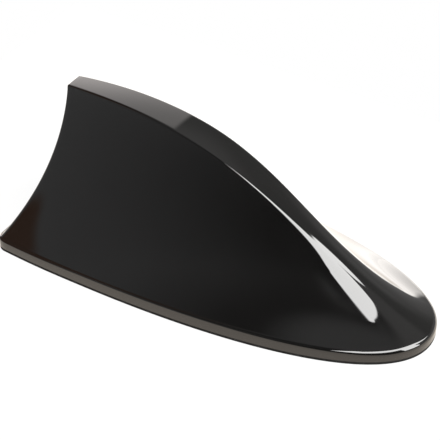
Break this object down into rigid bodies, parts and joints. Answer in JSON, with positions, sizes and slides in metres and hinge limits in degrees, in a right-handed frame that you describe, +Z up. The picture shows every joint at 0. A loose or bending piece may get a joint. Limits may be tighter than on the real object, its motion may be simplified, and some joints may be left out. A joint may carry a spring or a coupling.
{
  "type": "shark fin aerial",
  "caption": "Gloss black shark fin roof aerial: hollow moulded cover on a base plate with a rim seal, adhesive pad and lead grommet, and its amplifier and antenna boards inside.",
  "frame": {"origin": "middle of the footprint, on the roof plane under the seal and the adhesive pad", "axes": "+X towards the nose, +Z up and away from the roof"},
  "size_m": [0.165, 0.0764, 0.0616],
  "materials": {
    "gloss_black": "piano black, polished",
    "moulded_black": "moulded, fine grain",
    "seal_rubber": "matt rubber",
    "foam_tape": "closed-cell foam tape",
    "screw_steel": "zinc plated",
    "board_green": "glass-epoxy board with solder mask",
    "copper_foil": "bare copper",
    "tinned_sheet": "tinned sheet",
    "chip_black": "moulded epoxy",
    "socket_white": "nylon",
    "pin_brass": "brass",
    "ferrite": "sintered ferrite",
    "capacitor_can": "drawn can",
    "ceramic_tan": "ceramic chip"
  },
  "bodies": {
    "root": {"fin_cover": "gloss_black", "rim_seal": "seal_rubber", "base_plate": "moulded_black", "adhesive_pad": "foam_tape", "cable_grommet": "seal_rubber", "cover_screws": "screw_steel", "amplifier_board": "board_green", "board_screws": "screw_steel", "antenna_board": "board_green", "radiator_track": "copper_foil", "shield_can": "tinned_sheet", "amplifier_chip": "chip_black", "cable_socket": "socket_white", "socket_pins": "pin_brass", "ferrite_choke": "ferrite", "choke_winding": "copper_foil", "filter_capacitor": "capacitor_can", "capacitor_base": "chip_black", "chip_capacitors": "ceramic_tan", "chip_resistors": "chip_black"}
  },
  "joints": []
}
